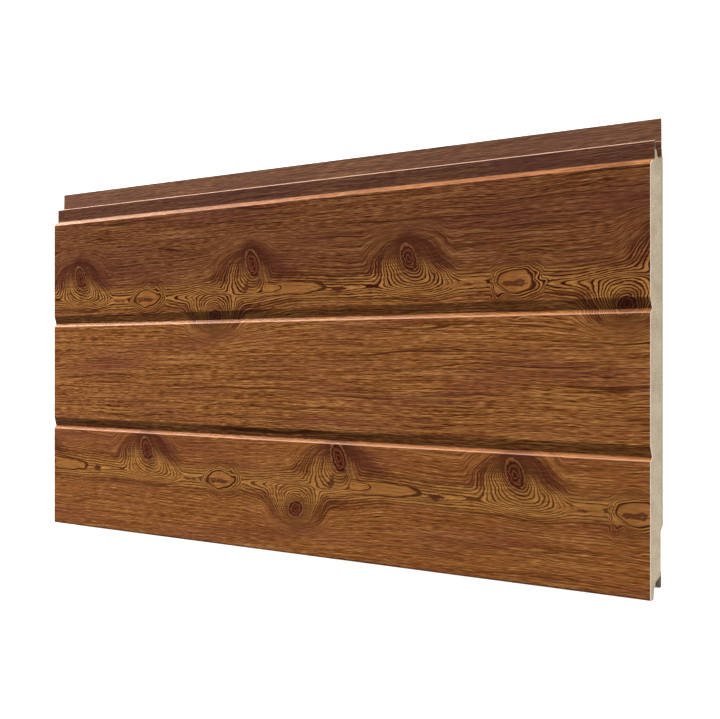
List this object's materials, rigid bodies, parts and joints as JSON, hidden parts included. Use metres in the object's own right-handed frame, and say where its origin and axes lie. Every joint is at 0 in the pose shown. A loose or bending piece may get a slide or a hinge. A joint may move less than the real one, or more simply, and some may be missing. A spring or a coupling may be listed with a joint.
{
  "type": "metal siding panel",
  "caption": "Foam-backed steel siding panel with wood-print boards, a tongue and nailing flange along one edge and a lip with a rebate along the other.",
  "frame": {"origin": "middle of the underside, on the plane of the back", "axes": "+X along the boards, +Y across them towards the nailing flange, +Z out of the printed face"},
  "size_m": [1, 0.4138, 0.016],
  "materials": {
    "printed_steel": "embossed wood print, satin",
    "foam": "rigid polyurethane foam, sawn at the ends",
    "foil": "dull embossed foil"
  },
  "bodies": {
    "root": {"face_sheet": "printed_steel", "foam_core": "foam", "backing_foil": "foil"}
  },
  "joints": []
}
